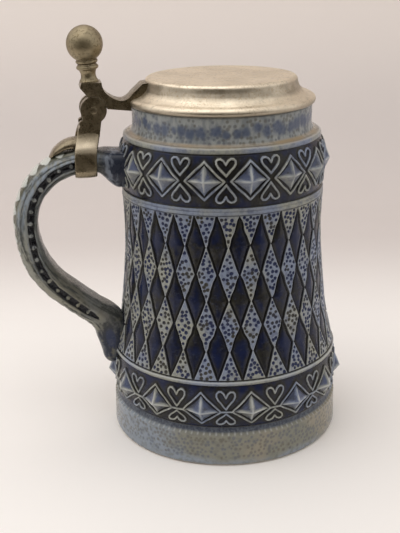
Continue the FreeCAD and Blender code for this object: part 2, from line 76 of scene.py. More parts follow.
# Each band's relief, with heights from the crossing of its lines: rhomb = (half width, up, down),
# stud = (half width, up, down, rise), hearts = (half width, tip, top, low tip, low top, aside).
UPPER_STUDS = {
    "radius": 44.2, "stud_angle": -86.3, "crossing": 122.6,
    "rhomb": (7.9, 7.9, 7.6),
    "stud": (7.2, 6.9, 6.2, 2.4),
    "hearts": (4.0, 2.2, 8.9, -1.4, -8.5, -0.6),
    "line": 0.55, "bar": False,
}
LOWER_STUDS = {
    "radius": 50.6, "stud_angle": -88.0, "crossing": 25.5,
    "rhomb": (8.2, 8.6, 5.5),
    "stud": (7.5, 7.4, 4.8, 3.0),
    "hearts": (3.95, 1.2, 9.3, -0.9, -5.7, -0.2),
    "line": 0.48, "bar": True,
}
DIAMOND_COLUMNS = 30
DIAMOND_PITCH = 360 / DIAMOND_COLUMNS
DIAMOND_ANGLE = -98.0
DIAMOND_TIPS = (51.2, 72.2, 95.3)
DIMPLE_RADIUS = 44.5
DIMPLE_GAP = 1.42
DIMPLE_TRIES = 320
DIMPLES_WHOLE, DIMPLES_CUT = 25, 13
SCALLOPS = 120
NECK_BLOTS = 58
COOL_SIDE = -150


# ---- small helpers
def ease(value, low, high):
    """0 below low, 1 above high, and a smooth step between them."""
    t = np.clip((value - low) / (high - low), 0, 1)
    return t * t * (3 - 2 * t)


def plateau(value, low, full, falling, high):
    """0 below low, 1 from full to falling, and 0 again above high."""
    return ease(value, low, full) * (1 - ease(value, falling, high))


def from_nearest(value, spacing):
    """How far a value is from the nearest multiple of a spacing."""
    return (value + spacing / 2) % spacing - spacing / 2


def hill(value, middle, width, power=2):
    """1 at the middle and falling off at a width from it, with a flatter top where the power is higher."""
    return np.exp(-(((value - middle) / width) ** power))


def dome(distance, half_width):
    """1 in the middle and rounded off to 0 at a half width."""
    return np.sqrt(np.clip(1 - (distance / half_width) ** 2, 0, 1))


def blunt_end(along, end, length, limit):
    """1 along a piece and rounded off over a length before its end, where a limit keeps it above 0."""
    return dome(np.clip((along - end + length) / length, 0, limit), 1)


def straight(start, end, step):
    """Points along a straight line, without its last point."""
    count = max(1, round(math.dist(start, end) / step))
    t = np.arange(count)[:, None] / count
    return np.array(start) * (1 - t) + np.array(end) * t


def arc(centre, radius, start, end, step):
    """Points along an arc between two angles in degrees, without its last point."""
    count = max(2, round(abs(math.radians(end - start)) * radius / step))
    angle = np.radians(start + (end - start) * np.arange(count) / count)
    return np.stack([centre[0] + radius * np.cos(angle), centre[1] + radius * np.sin(angle)], 1)


def smooth_through(knots, place):
    """Value at each place of a smooth curve through (value, place) knots."""
    values, places = np.array(knots).T
    slopes = np.gradient(values, places)
    i = np.clip(np.searchsorted(places, place) - 1, 0, len(places) - 2)
    gap = places[i + 1] - places[i]
    t = (place - places[i]) / gap
    return ((2 * t**3 - 3 * t**2 + 1) * values[i] + (t**3 - 2 * t**2 + t) * gap * slopes[i]
            + (-2 * t**3 + 3 * t**2) * values[i + 1] + (t**3 - t**2) * gap * slopes[i + 1])


def curve_up(knots, step):
    """Points of a smooth curve through (radius, height) knots, without its last point."""
    low, high = knots[0][1], knots[-1][1]
    z = np.linspace(low, high, max(2, round((high - low) / step)), endpoint=False)
    return np.stack([smooth_through(knots, z), z], 1)


def distances_along(points):
    """How far along the line through the points each of them lies."""
    return np.concatenate([[0], np.cumsum(np.hypot(*np.diff(points, axis=0).T))])


def points_along(knots, distance):
    """Points at the given distances along the line through the knots."""
    run = distances_along(knots)
    return np.stack([np.interp(distance, run, knots[:, k]) for k in (0, 1)], -1)


def section(count, across_power, up_power):
    """Across and up, from -1 to 1, round a section that is squarer where the powers are lower."""
    turn = 2 * math.pi * np.arange(count) / count
    across = np.sign(np.cos(turn)) * np.abs(np.cos(turn)) ** across_power
    up = np.sign(np.sin(turn)) * np.abs(np.sin(turn)) ** up_power
    return across, up


def soft_noise(rows, columns, row_cells, column_cells):
    """Smooth random values from -1 to 1 on a grid whose columns wrap round."""
    cells = random.uniform(-1, 1, (row_cells + 2, column_cells))
    row = np.linspace(0, row_cells, rows)
    column = np.linspace(0, column_cells, columns, endpoint=False)
    r0, c0 = row.astype(int), column.astype(int)
    rt = ease(row - r0, 0, 1)[:, None]
    ct = ease(column - c0, 0, 1)[None, :]
    c1 = (c0 + 1) % column_cells
    near, far = (cells[r][:, c0] * (1 - ct) + cells[r][:, c1] * ct for r in (r0, r0 + 1))
    return near * (1 - rt) + far * rt


def placed(name, data):
    """A new object with this data, in the scene."""
    thing = bpy.data.objects.new(name, data)
    bpy.context.scene.collection.objects.link(thing)
    return thing


def add_mask(mesh, name, values):
    attribute = mesh.attributes.new(name, "FLOAT", "POINT")
    attribute.data.foreach_set("value", np.asarray(values, np.float32))


def grid_mesh(name, points, masks, closed_ends=True):
    """A mesh from rows x columns points in mm, whose columns wrap round, with named masks on its points."""
    rows, columns = points.shape[:2]
    index = np.arange(rows * columns).reshape(rows, columns)
    beside = np.roll(index, -1, axis=1)
    quads = np.stack([index[:-1], beside[:-1], beside[1:], index[1:]], -1).reshape(-1, 4)
    coordinates = points.reshape(-1, 3)
    triangles = []
    values = {key: mask.reshape(-1) for key, mask in masks.items()}
    for row in (0, -1) if closed_ends else ():
        ring, next_ring = index[row], beside[row]
        pole = np.full(columns, len(coordinates))
        coordinates = np.vstack([coordinates, points[row].mean(0)])
        values = {key: np.append(v, masks[key][row].mean()) for key, v in values.items()}
        order = (pole, ring, next_ring) if row else (pole, next_ring, ring)
        triangles.append(np.stack(order, -1))
    corners = np.concatenate([quads.ravel()] + [t.ravel() for t in triangles])
    sizes = np.concatenate([np.full(len(quads), 4)] + [np.full(len(t), 3) for t in triangles])
    mesh = bpy.data.meshes.new(name)
    mesh.vertices.add(len(coordinates))
    mesh.vertices.foreach_set("co", (coordinates * MM).ravel().astype(np.float32))
    mesh.loops.add(len(corners))
    mesh.loops.foreach_set("vertex_index", corners.astype(np.int32))
    mesh.polygons.add(len(sizes))
    mesh.polygons.foreach_set("loop_start", (np.cumsum(sizes) - sizes).astype(np.int32))
    mesh.polygons.foreach_set("use_smooth", np.ones(len(sizes), bool))
    mesh.update(calc_edges=True)
    for key, v in values.items():
        add_mask(mesh, key, v)
    return placed(name, mesh)


# ---- relief on the mug
def to_segment(x, y, a, b):
    """Distance from every point to the segment from a to b."""
    along = np.array(b, float) - a
    t = np.clip(((x - a[0]) * along[0] + (y - a[1]) * along[1]) / (along @ along), 0, 1)
    return np.hypot(x - a[0] - t * along[0], y - a[1] - t * along[1])


def to_outline(x, y, corners):
    """Distance from every point to the line through the corners."""
    return np.minimum.reduce([to_segment(x, y, a, b) for a, b in zip(corners, corners[1:])])


def heart_outline(half_width, tip, top):
    """A heart's closed outline, from its tip round to its tip. Top may be below tip."""
    side = [(0, 0), (0.24, 0.17), (0.50, 0.35), (0.78, 0.53), (0.97, 0.72), (0.97, 0.88),
            (0.78, 0.99), (0.50, 1.0), (0.24, 0.90), (0.05, 0.71), (0, 0.66)]
    whole = side + [(-across, up) for across, up in reversed(side[:-1])]
    return [(across * half_width, tip + up * (top - tip)) for across, up in whole]


def pointed(across, along, power):
    """0 in the middle and 1 on the edge of a four-pointed figure, with sides bent in at a power below 1."""
    return (across**power + along**power) ** (1 / power)


def stud_band(angle, z, radius, stud_angle, crossing, rhomb, stud, hearts, line, bar):
    """Height, paleness, painted highlights on the line tops and ridges, blue facets with painted shade, and
    open ground of framed pyramid studs with hearts between.
    """
    mm = math.radians(1) * radius
    y = z - crossing
    stud_x = from_nearest(angle - stud_angle, STUD_PITCH) * mm
    gap_x = from_nearest(angle - stud_angle - STUD_PITCH / 2, STUD_PITCH) * mm
    wobble = 0.15 * soft_noise(*y.shape, 7, 90)
    sway = 0.15 * soft_noise(*y.shape, 6, 70)
    stud_x, gap_x, y = stud_x + wobble, gap_x + wobble, y + sway
    half, up, down = rhomb
    corners = [(0, up), (half, 0), (0, -down), (-half, 0), (0, up)]
    lines = to_outline(stud_x, y, corners)
    width, tip, top, low_tip, low_top, aside = hearts
    for heart_tip, heart_top in ((tip, top), (low_tip, low_top)):
        outline = heart_outline(width, heart_tip, heart_top)
        lines = np.minimum(lines, to_outline(gap_x - aside, y, outline))
    if bar:
        reach = STUD_PITCH / 2 * mm - half
        lines = np.minimum(lines, to_segment(gap_x, y, (-reach, 0), (reach, 0)))
    worn = soft_noise(*y.shape, 8, 160)
    height = LINE_RISE * dome(lines, line) * (1 + 0.2 * worn)
    pale = 1 - ease(lines, 0.55 * line, 1.05 * line)
    grit = soft_noise(*y.shape, 34, 560)
    # Painted highlight along the tops of the raised lines, uneven with noise.
    crest_highlight = (1 - ease(lines, 0.1 * line, 0.8 * line)) * (0.55 + 0.4 * worn + 0.3 * grit)
    half, up, down, rise = stud
    across = np.abs(stud_x) / half
    along = np.where(y > 0, y / up, -y / down)
    edge = pointed(across, along, STUD_EDGE_POWER)
    star = pointed(across, along, STUD_STAR_POWER)
    slope = np.clip(1 - 0.5 * edge - 0.5 * np.minimum(star, 1.4), 0, 1)
    height = np.maximum(height, np.where(edge < 1, STUD_BASE_RISE + rise * slope, 0))
    # The facets turn darker and bluer away from the ridges, as glaze pooled on them and as painted shade;
    # the lower facets take less of it, as painted light from the floor below.
    from_ridge = np.minimum(across, along)
    share = np.where(y > 0, 1.0, LOWER_FACET_SHADE_SHARE)
    on_stud = 1 - ease(edge, 0.93, 1.06)
    facet = 0.92 - 0.50 * ease(from_ridge, 0.04, 0.22) * share
    pale = np.maximum(pale, facet * on_stud)
    tint = ease(from_ridge, 0.03, 0.16) * on_stud * share
    # Painted highlight along each stud's four ridges.
    ridge = hill(from_ridge, 0, 0.085) * (1 - ease(edge, 0.70, 1.05))
    crest_highlight = np.maximum(crest_highlight, ridge * (0.85 + 0.3 * worn))
    away = np.clip(np.minimum(lines - line, 4 * (edge - 1)), 0, None)
    ground = 1 - hill(away, 0, 1.5)
    return height, pale, crest_highlight, tint, ground


def scatter(angle, z, radius, spots):
    """How deep each point lies in round spots, from 0 to 1. A spot is (angle, height, size in mm)."""
    deep = np.zeros(z.shape)
    heights = z[:, 0]
    row_mm = math.radians(1) * radius[:, 0]
    for spot_angle, spot_z, size in spots:
        reach = 2.2 * size
        row = np.abs(heights - spot_z).argmin()
        rows = np.flatnonzero(np.abs(heights - spot_z) < reach)
        if len(rows) == 0:
            continue
        offset = from_nearest(angle[0] - spot_angle, 360)
        columns = np.flatnonzero(np.abs(offset) * row_mm[row] < reach)
        dx = offset[None, columns] * row_mm[rows, None]
        dz = heights[rows, None] - spot_z
        pit = hill(dx**2 + dz**2, 0, size**2, 1.5)
        area = np.ix_(rows, columns)
        deep[area] = np.maximum(deep[area], pit)
    return deep


def strewn(low, high, spacing, radius, sizes, kept):
    """Spots in loose staggered rows all round, as (angle, height, size), with some left out."""
    count = round(2 * math.pi * radius / spacing)
    spots = []
    for row, z in enumerate(np.arange(low, high, 0.88 * spacing)):
        for column in range(count):
            angle = 360 / count * (column + row % 2 / 2 + random.uniform(-0.28, 0.28))
            if random.random() < kept:
                spots.append((angle, z + random.uniform(-0.3, 0.3) * spacing, random.uniform(*sizes)))
    return spots


def dimple_spots():
    """Places of the small pits pressed into the pale diamonds, spread so that none touch."""
    spots = []
    mm = math.radians(1) * DIMPLE_RADIUS
    pitch = DIAMOND_PITCH * mm
    levels = [(WAIST[0], DIAMOND_TIPS[0], DIMPLES_CUT)]
    levels += [(low, high, DIMPLES_WHOLE) for low, high in zip(DIAMOND_TIPS, DIAMOND_TIPS[1:])]
    levels += [(DIAMOND_TIPS[-1], WAIST[1], DIMPLES_CUT)]
    for column in range(DIAMOND_COLUMNS):
        for low, high, wanted in levels:
            pressed = []
            for _ in range(DIMPLE_TRIES):
                spot = (random.uniform(-0.5, 0.5) * pitch, random.uniform(low + 0.6, high - 0.6))
                half = diamond_half_width(spot[1]) * pitch - 0.7
                clear = all(math.dist(spot, other) > DIMPLE_GAP for other in pressed)
                if abs(spot[0]) < half and clear and len(pressed) < wanted:
                    pressed.append(spot)
            for across, height in pressed:
                angle = DIAMOND_ANGLE + column * DIAMOND_PITCH + across / mm
                spots.append((angle, height, random.uniform(0.5, 0.74)))
    return spots


def diamond_half_width(z):
    """Half width of the pale diamonds at a height, as a share of their pitch."""
    first, second, third = DIAMOND_TIPS
    heights = (WAIST[0], first, (first + second) / 2, second, (second + third) / 2, third, WAIST[1])
    return np.interp(z, heights, (0.46, 0.012, 0.445, 0.012, 0.445, 0.012, 0.47))


def harlequin(angle, z, radius):
    """Height, paleness, pits, painted rim highlights and dark pools of the diamond pattern round the waist.
    """
    mm = math.radians(1) * radius
    wobble = 0.18 * soft_noise(*z.shape, 22, 110)
    offset = from_nearest(angle - DIAMOND_ANGLE, DIAMOND_PITCH)
    inside = (diamond_half_width(z + 2 * wobble) * DIAMOND_PITCH - np.abs(offset)) * mm * 0.92 + wobble
    pale = ease(inside, -0.12, 0.14)
    deep = scatter(angle, z, radius, dimple_spots()) * ease(inside, 0.1, 0.5)
    groove = hill(inside, -0.40, 0.36)
    rim = hill(inside, 0.22, 0.22)
    pool = 1 - hill(np.clip(-inside, 0, None), 0, 1.9)
    height = 0.55 * pale + 0.14 * rim + 0.55 * pool - 0.42 * groove - 0.55 * deep
    # The raised rim round each pale diamond carries a painted highlight.
    return height, pale, deep, 0.8 * rim, pool


def hollows(height, reach):
    """How far each point lies below the average height round it, in mm."""
    level = height
    for axis in (0, 1):
        level = sum(np.roll(level, step, axis) for step in range(-reach, reach + 1)) / (2 * reach + 1)
    return level - height


def mug_profile():
    """The mug's section, from the middle of its underside, up the outside, and down to the floor inside."""
    foot_edge = 1.6
    lip = 1.5
    floor_corner = 9.0
    parts = [
        straight((POLE_RADIUS, 0), (FOOT_RADIUS - foot_edge, 0), 3),
        arc((FOOT_RADIUS - foot_edge, foot_edge), foot_edge, -90, 0, 0.3),
        straight((FOOT_RADIUS, foot_edge), (50.95, FOOT_TOP - 0.7), 0.45),
        arc((50.25, FOOT_TOP - 0.7), 0.7, 0, 80, 0.15),
        curve_up([(50.3, FOOT_TOP), (49.6, 15.9), (49.15, 16.8), (48.9, 17.5)], 0.3),
        curve_up([(48.9, 17.5), (49.5, 18.1), (50.0, 22), (50.35, 28), (50.2, 34), (49.7, 36.9)],
                 PATTERN_STEP),
        arc((49.3, LOWER_RING), 1.15, -80, 80, 0.2),
        curve_up([(49.2, 39.3), (46.7, 49.8), (44.6, 64.8), (43.3, 79.8), (42.6, 93.0), (43.0, 108.3)],
                 PATTERN_STEP),
        arc((42.9, 109.2), 0.9, -80, 60, 0.2),
        arc((42.9, 110.9), 0.85, -60, 80, 0.2),
        curve_up([(42.8, 111.8), (43.4, 117), (43.7, 123), (43.4, 129), (42.2, 132.6)], PATTERN_STEP),
        curve_up([(41.8, 132.8), (42.3, 133.3), (42.4, 134.2), (42.1, 134.9), (41.3, 135.3)], 0.2),
        curve_up([(41.0, 135.35), (39.6, 135.8), (38.8, 137.0), (38.4, 139.4)], 0.3),
        straight((NECK_RADIUS, 139.5), (NECK_RADIUS, MUG_TOP - lip), 0.35),
        arc((NECK_RADIUS - lip, MUG_TOP - lip), lip, 0, 90, 0.3),
        arc((MOUTH_RADIUS + lip, MUG_TOP - lip), lip, 90, 180, 0.3),
        straight((MOUTH_RADIUS, MUG_TOP - lip), (MOUTH_RADIUS, UPPER_RING[1]), 2),
        straight((MOUTH_RADIUS, UPPER_RING[1]), BORE_SHOULDER, 2),
        straight(BORE_SHOULDER, (BORE_FOOT_RADIUS, FLOOR_HEIGHT + floor_corner), 4),
        arc((BORE_FOOT_RADIUS - floor_corner, FLOOR_HEIGHT + floor_corner), floor_corner, 0, -90, 1),
        straight((BORE_FOOT_RADIUS - floor_corner, FLOOR_HEIGHT), (POLE_RADIUS, FLOOR_HEIGHT), 3),
    ]
    return np.vstack(parts)


def carved_bands(angle, z, radius, outside):
    """Height, paleness, pits, painted highlights, dark pools and blue facets with painted shade of the two
    stud bands and the waist.
    """
    height, pale, pit, crest_highlight, pool, tint = (np.zeros(radius.shape) for _ in range(6))
    heights = z[:, 0]
    for (low, high), studs in ((UPPER_BAND, UPPER_STUDS), (LOWER_BAND, LOWER_STUDS)):
        band = outside & (heights > low) & (heights < high)
        height[band], pale[band], crest_highlight[band], tint[band], pool[band] = stud_band(
            angle[band], z[band], **studs)
    waist = outside & (heights > WAIST[0]) & (heights < WAIST[1])
    height[waist], pale[waist], pit[waist], crest_highlight[waist], pool[waist] = harlequin(
        angle[waist], z[waist], radius[waist])
    return height, pale, pit, crest_highlight, pool, tint


def salt_spots(angle, z, radius, neck, foot):
    """The blue blots round the neck, and the small specks on the neck and the foot."""
    cobalt, speck = np.zeros(radius.shape), np.zeros(radius.shape)
    blots = [(360 * i / NECK_BLOTS + random.uniform(-2.5, 2.5), random.uniform(140.0, 142.4),
              random.uniform(1.5, 3.0)) for i in range(NECK_BLOTS)]
    cobalt[neck] = scatter(angle[neck], z[neck], radius[neck], blots)
    neck_dots = strewn(136.7, 145.8, 1.9, NECK_RADIUS, (0.55, 0.95), 0.66)
    speck[neck] = scatter(angle[neck], z[neck], radius[neck], neck_dots)
    foot_dots = strewn(4.4, 13.4, 1.95, FOOT_RADIUS, (0.55, 0.88), 0.8)
    speck[foot] = scatter(angle[foot], z[foot], radius[foot], foot_dots)
    return cobalt, speck


def build_mug():
    """The mug's wall, from the middle of its underside over the rim to the middle of its floor."""
    profile = mug_profile()
    rows = len(profile)
    zs = profile[:, 1]
    outside = np.arange(rows) < np.argmax(zs > MUG_TOP - 0.1)
    angle_row = -180 + 360 * np.arange(MUG_COLUMNS) / MUG_COLUMNS
    radius = np.repeat(profile[:, :1], MUG_COLUMNS, 1)
    z = np.repeat(profile[:, 1:], MUG_COLUMNS, 1)
    angle = np.repeat(angle_row[None, :], rows, 0)
    height, pale, pit, crest_highlight, pool, tint = carved_bands(angle, z, radius, outside)

    rings = hill(zs, LOWER_RING, 1.0, 4) + hill(zs, DOUBLE_RING, 1.6, 6)
    rings = rings + hill(zs, UPPER_RING[1] - 1.1, 1.3, 4)
    pale = np.maximum(pale, (rings * outside)[:, None])
    # Painted highlight along the tops of the lower and upper rings.
    ring_top_highlights = hill(zs, LOWER_RING + 0.5, 0.5) + hill(zs, UPPER_RING[1] - 0.2, 0.35)
    crest_highlight = np.maximum(crest_highlight, (0.8 * ring_top_highlights * outside)[:, None])
    foot = outside & (zs < LOWER_BAND[0] - 0.3)
    neck = outside & (zs > NECK_FOOT)
    warm = hill(zs, NECK_FOOT + 0.35, 0.6) * outside
    ledge = foot * ease(zs, FOOT_TOP - 0.1, FOOT_TOP + 0.9)
    scallop = (hill(zs, FOOT_TOP, 0.5) * foot)[:, None]
    wave = np.cos(np.radians(SCALLOPS * angle))
    height += 0.22 * scallop * wave
    # Painted highlight on the top of each scallop.
    crest_highlight = np.maximum(crest_highlight, 0.7 * scallop * ease(wave, 0.2, 1))

    cobalt, speck = salt_spots(angle, z, radius, neck, foot)
    cool = hill(from_nearest(angle - COOL_SIDE, 360), 0, 30) + 0.7 * hill(z, 0, 4)
    height -= 0.1 * speck + 0.06 * cobalt
    hollow = ease(hollows(height, 4), 0.03, 0.30) * (1 - ease(pit, 0.05, 0.4)) * outside[:, None]
    height += 0.05 * soft_noise(rows, MUG_COLUMNS, 60, 90) * outside[:, None]
    height += 0.12 * soft_noise(rows, MUG_COLUMNS, 14, 20) * outside[:, None]
    radius = radius + height
    points = np.stack([radius * np.cos(np.radians(angle)), radius * np.sin(np.radians(angle)), z], -1)
    masks = {"pale": pale, "pit": pit, "crest_highlight": crest_highlight, "tint": tint, "hollow": hollow, "pool": pool,
             "cobalt": cobalt, "speck": speck, "cool": cool}
    bare = ~outside | (zs < 0.8)
    for name, row in (("foot", foot), ("neck", neck), ("ledge", ledge), ("warm", warm), ("inside", bare)):
        masks[name] = np.repeat(row[:, None].astype(float), MUG_COLUMNS, 1)
    mug = grid_mesh("mug", points, masks)
    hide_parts("stoneware_body")
    return mug


# ---- handle
HANDLE_TOP = 124.5
HANDLE_HALF_WIDTH = 8.4
HANDLE_HALF_THICKNESS = 4.75
HANDLE_SQUARENESS = 2 / 3.4
HANDLE_STEP = 0.4
HANDLE_AROUND = 176
# Straights and bends of the middle line, as (length, turn in degrees), from the top root to the tail.
HANDLE_RUNS = [(21.2, 0), (26.0 * math.radians(90), 90), (39.4 * math.radians(50), 50),
               (17.7, 0), (14.0 * math.radians(42), -42), (17.6, 0)]
FIRST_BEAD = 21.75
BEAD_SPACING = 5.5
FIRST_LOZENGE = 24.65
LOZENGE_SPACING = 5.3
LOZENGE_POWER = 1.35
# How far the groove lies outside the middle of the handle's side, and where along the handle.
GROOVE_DRIFT = [(0, 25), (0, 32), (-0.75, 47), (-1.5, 60), (-1.4, 67), (0, 80), (1.2, 96), (1.6, 114),
                (1.6, 150)]


def handle_path():
    """Points and headings of the handle's middle line in the X-Z plane, from the top root to the tail."""
    heading = 180.0
    spot = np.array([-38.0, HANDLE_TOP])
    points = [spot.copy()]
    headings = [heading]
    for length, turn in HANDLE_RUNS:
        count = round(length / HANDLE_STEP)
        for _ in range(count):
            heading += turn / count / 2
            way = math.radians(heading)
            spot = spot + length / count * np.array([math.cos(way), math.sin(way)])
            heading += turn / count / 2
            points.append(spot.copy())
            headings.append(heading)
    return np.array(points), np.radians(headings)


def handle_body(along, total, across, out):
    """The plain handle's y, lift off its middle line, half width and top root at a distance along it."""
    end = blunt_end(along, total, 6.5, 0.999)
    narrowing = ease(along, total - 34, total - 10)
    half_width = HANDLE_HALF_WIDTH * (1 - 0.30 * narrowing) * end
    half_thick = HANDLE_HALF_THICKNESS * (1 - 0.04 * narrowing) * end
    root = 1 - ease(along, 7, 17.5)
    waist = hill(along, 15.5, 2.2)
    foot = plateau(along, total - 30, total - 17, total - 12, total - 3)
    y = (half_width + 1.3 * root - 0.35 * waist) * across
    lift = (half_thick - 0.3 * waist) * out
    crown = np.where(out > 0, 0.45 * (1 - across**2), 0)
    lift = lift + crown * ease(out, 0, 1) * end + np.where(out < 0, out, 0) * (7.0 * root + 4.0 * foot)
    lift = lift - 0.8 * root * (out > 0)
    swell = 0.35 * ease(along, 26, 34) + 1.15 * ease(along, 64, 86)
    swell = swell * (1 - ease(along, total - 20, total - 6))
    lift = lift + swell * ease(out, 0, 0.9)
    return y, lift, half_width, root


def build_handle():
    """The luted handle: a beaded groove along each side and raised lozenges down its back."""
    centre, heading = handle_path()
    rows = len(centre)
    along = HANDLE_STEP * np.arange(rows)[:, None]
    total = along[-1, 0]
    across, out = (row[None, :] for row in section(HANDLE_AROUND, HANDLE_SQUARENESS, HANDLE_SQUARENESS))
    y, lift, half_width, root = handle_body(along, total, across, out)
    drift = smooth_through(GROOVE_DRIFT, np.clip(along, GROOVE_DRIFT[0][1], GROOVE_DRIFT[-1][1]))
    from_groove = lift - drift

    side = ease(np.abs(across), 0.88, 0.97)
    groove_run = plateau(along, 17, 21, total - 33, total - 24)
    groove_half = 0.2 + (1.12 + 0.16 * soft_noise(rows, HANDLE_AROUND, 46, 4)) * groove_run
    groove = side * hill(from_groove, 0, groove_half, 4) * ease(groove_run, 0, 0.3)
    phase = from_nearest(along - FIRST_BEAD, BEAD_SPACING)
    uneven = soft_noise(rows, HANDLE_AROUND, 60, 2)
    bead_distance = np.hypot(phase, from_groove + 0.2 * uneven)
    bead = side * dome(bead_distance, 1.12 + 0.16 * uneven) * ease(groove_run, 0.85, 0.97)
    ridge = side * hill(np.abs(from_groove), 1.95, 0.42) * groove_run
    low_run = plateau(along, 19, 40, total - 32, total - 20)
    low_ridge = side * hill(lift, -3.4, 0.45) * low_run
    line_run = plateau(along, 19, 30, total - 36, total - 22)
    line = side * (hill(lift, -2.7, 0.32) + hill(lift, 2.75, 0.32)) * line_run
    relief = -0.95 * groove + 1.0 * bead + 0.3 * ridge + 0.35 * low_ridge - 0.2 * line
    y = y + np.sign(across) * relief

    back = ease(out, 0.72, 0.98)
    lozenge_run = plateau(along, 26, 30, total - 24, total - 18)
    lozenge_along = from_nearest(along - FIRST_LOZENGE, LOZENGE_SPACING)
    lozenge_edge = pointed(np.abs(lozenge_along) / (LOZENGE_SPACING * 0.51),
                           np.abs(y) / (half_width * 0.90), LOZENGE_POWER)
    ragged = 0.05 * soft_noise(rows, HANDLE_AROUND, 110, 60)
    lozenge = back * (1 - ease(lozenge_edge + ragged, 0.78, 1.10)) * lozenge_run
    lift = lift + 0.24 * lozenge + 0.12 * soft_noise(rows, HANDLE_AROUND, 40, 10)
    streak = 0.5 + 0.5 * soft_noise(rows, HANDLE_AROUND, 26, 44)
    streak = streak + 0.25 * soft_noise(rows, HANDLE_AROUND, 60, 88)

    x = centre[:, :1] + np.sin(heading)[:, None] * lift
    z = centre[:, 1:] - np.cos(heading)[:, None] * lift
    masks = {
        "streak": streak,
        "line": line,
        "outer": ease(from_groove, 1.4, 3.2),
        "inner": ease(-from_groove, 1.6, 3.0) * (1 - root),
        "pale": np.clip(lozenge + 0.35 * ease(bead, 0.2, 0.8) + 0.45 * ridge + 0.5 * low_ridge, 0, 1),
        "groove": np.clip(groove * 1.3 - 1.6 * bead, 0, 1),
        "back": back * lozenge_run,
        "root": 1 - ease(along, 11, 19),
        "tail": ease(along, total - 27, total - 12),
        "oval": hill(((along - total + 14) / 5.5) ** 2 + ((lift - 0.2) / 2.4) ** 2, 0, 1),
        # Painted highlight on the outer half of the handle's sides, high up.
        "shoulder_highlight": ease(z, 84, 112) * ease(lift, -0.5, 1.5) * (1 - ease(out, 0.72, 0.9)),
    }
    masks = {name: np.broadcast_to(mask, x.shape) for name, mask in masks.items()}
    handle = grid_mesh("handle", np.stack([x, y, z], -1), masks)
    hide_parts("stoneware_handle")
    return handle


# ---- pewter
# Half of the strap's outside round the handle, as (across, height), from on top to under the handle.
STRAP_LOOP = [(0.0, 139.2), (4.2, 139.1), (4.8, 138.2), (5.15, 137.0), (5.8, 135.3), (7.1, 133.3),
              (8.8, 131.4), (9.8, 129.2), (10.05, 127.0), (10.05, 124.0), (9.9, 121.2), (8.9, 119.1),
              (6.6, 118.25), (0.0, 118.15)]
STRAP_MIDDLE_HEIGHT = 126
STRAP_THICKNESS = 1.5
STRAP_COUNT = 240
STRAP_AROUND = 28


def strap_outside():
    """Points round the strap's outside, from on top, under the handle and back."""
    half = np.array(STRAP_LOOP)
    other = half[1:-1][::-1] * (-1, 1)
    loop = np.vstack([half, other, half[:1]])
    outside = points_along(loop, np.arange(STRAP_COUNT) / STRAP_COUNT * distances_along(loop)[-1])
    for _ in range(6):
        outside = (np.roll(outside, 1, 0) + 2 * outside + np.roll(outside, -1, 0)) / 4
    return outside


def build_strap():
    """The soldered pewter strap, which grows out of the hinge block and closes under the handle."""
    outside = strap_outside()
    along = np.roll(outside, -1, 0) - np.roll(outside, 1, 0)
    along /= np.hypot(*along.T)[:, None]
    outward = np.stack([along[:, 1], -along[:, 0]], -1)
    outward *= np.sign((outward * (outside - (0, STRAP_MIDDLE_HEIGHT))).sum(1))[:, None]
    middle = np.interp(outside[:, 1], (119, 127, 131, 135, 140), (-59.15, -59.15, -58.7, -57.6, -56.7))
    half = np.interp(outside[:, 1], (119, 128, 135, 140), (4.6, 4.6, 4.75, 4.4))
    across, depth = section(STRAP_AROUND, 0.42, 0.42)
    inset = STRAP_THICKNESS / 2 * (1 - depth) + 0.18 * across**2
    x = middle[:, None] + half[:, None] * across
    y = outside[:, :1] - outward[:, :1] * inset
    z = outside[:, 1:] - outward[:, 1:] * inset
    points = np.stack([x, y, z], -1)
    points = np.concatenate([points, points[:1]])
    # Painted highlight on the strap's sloping top, put in the worn mask.
    painted_highlight = hill(points[..., 2], 132.0, 2.6) * np.maximum(depth, 0)
    strap = grid_mesh("strap", points, {"worn": painted_highlight}, closed_ends=False)
    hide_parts("hinge_strap")
    return strap


# The lid's section as (radius, height): over the crown, down the cove, round the rim and back inside.
LID_PROFILE = [(0.4, 158.0), (29.6, 157.95), (31.2, 157.75), (32.0, 157.1), (32.2, 156.1), (32.4, 155.0),
               (33.1, 153.2), (34.8, 151.6), (36.8, 150.5), (38.5, 150.0), (39.6, 149.3), (39.95, 148.3),
               (39.6, 147.2), (38.9, 146.7), (38.2, 147.1), (37.4, 147.4), (34.2, 147.3), (33.8, 147.6),
               (33.8, 149.9), (30.9, 154.6), (30.0, 155.6), (0.4, 156.6)]
LID_LAST_OUTER_KNOT = 13
LID_ROWS = 420
LID_COLUMNS = 360


def build_lid():
    """The turned pewter lid: a flat crown, a hollow cove and a thick rolled rim, open underneath."""
    knots = np.array(LID_PROFILE)
    run = distances_along(knots)
    s = np.linspace(0, run[-1], LID_ROWS)
    profile = points_along(knots, s)
    for _ in range(4):
        profile[1:-1] = (profile[:-2] + 2 * profile[1:-1] + profile[2:]) / 4
    angle = 2 * math.pi * np.arange(LID_COLUMNS) / LID_COLUMNS
    radius, z = profile[:, :1], profile[:, 1:]
    radius = radius + 0.05 * soft_noise(LID_ROWS, LID_COLUMNS, 30, 40) * ease(radius, 20, 30)
    z = z + 0.08 * soft_noise(LID_ROWS, LID_COLUMNS, 10, 9) * ease(radius, 4, 20)
    points = np.stack([radius * np.cos(angle), radius * np.sin(angle), z], -1)
    outer = (s < run[LID_LAST_OUTER_KNOT])[:, None]
    cove = plateau(z, 151.4, 153.4, 156.2, 157.3) * outer
    # Painted shade on the underside of the rim.
    under = (1 - ease(z, 147.2, 149.7)) * outer
    lid = grid_mesh("lid", points, {"cove": cove, "under": under})
    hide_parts("lid_shell")
    return lid


